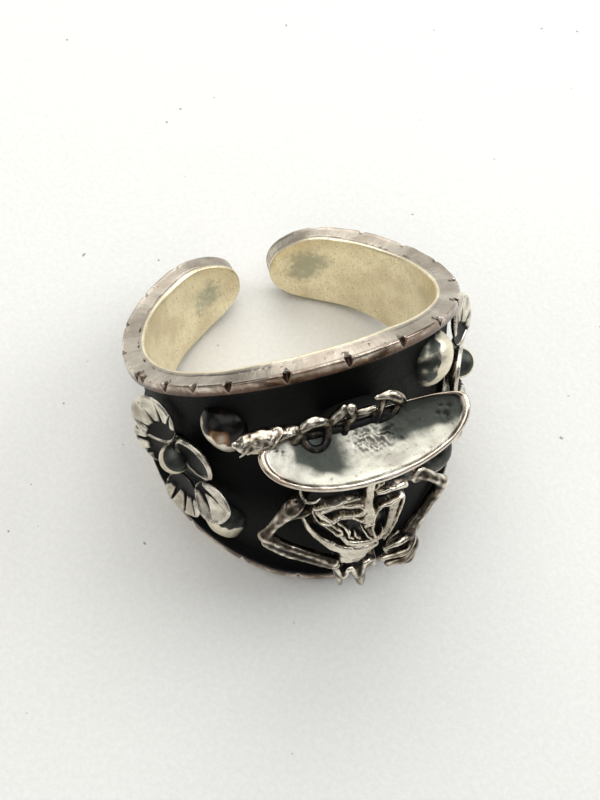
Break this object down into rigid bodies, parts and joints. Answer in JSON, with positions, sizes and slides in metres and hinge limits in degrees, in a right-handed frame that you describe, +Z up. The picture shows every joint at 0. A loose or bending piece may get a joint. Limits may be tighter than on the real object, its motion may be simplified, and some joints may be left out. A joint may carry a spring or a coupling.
{
  "type": "skeleton ring",
  "caption": "Open-backed wide silver ring with a dark recessed front that carries a skeleton bust in a broad hat, flowers and rounded domes.",
  "frame": {"origin": "on the surface that the ring rests on, under the middle of its box", "axes": "+Z up from that surface, -Y towards the decorated front, +Y towards the gap at the back, X across; the finger hole leans 22 degrees from +Z towards +Y"},
  "size_m": [0.0228, 0.0252, 0.0198],
  "materials": {
    "silver_satin": "satin silver with fine scratches, blackened in the recessed field",
    "silver_bright": "polished silver, blackened in its recesses",
    "silver_dark": "glossy blackened silver"
  },
  "bodies": {
    "root": {"band": "silver_satin", "skeleton": "silver_bright", "hat": "silver_bright", "hat_trim": "silver_bright", "flower_left": "silver_bright", "flower_right": "silver_bright", "dome_upper_left": "silver_dark", "dome_upper_right": "silver_dark", "dome_lower_left": "silver_dark", "dome_lower_right": "silver_dark"}
  },
  "joints": []
}
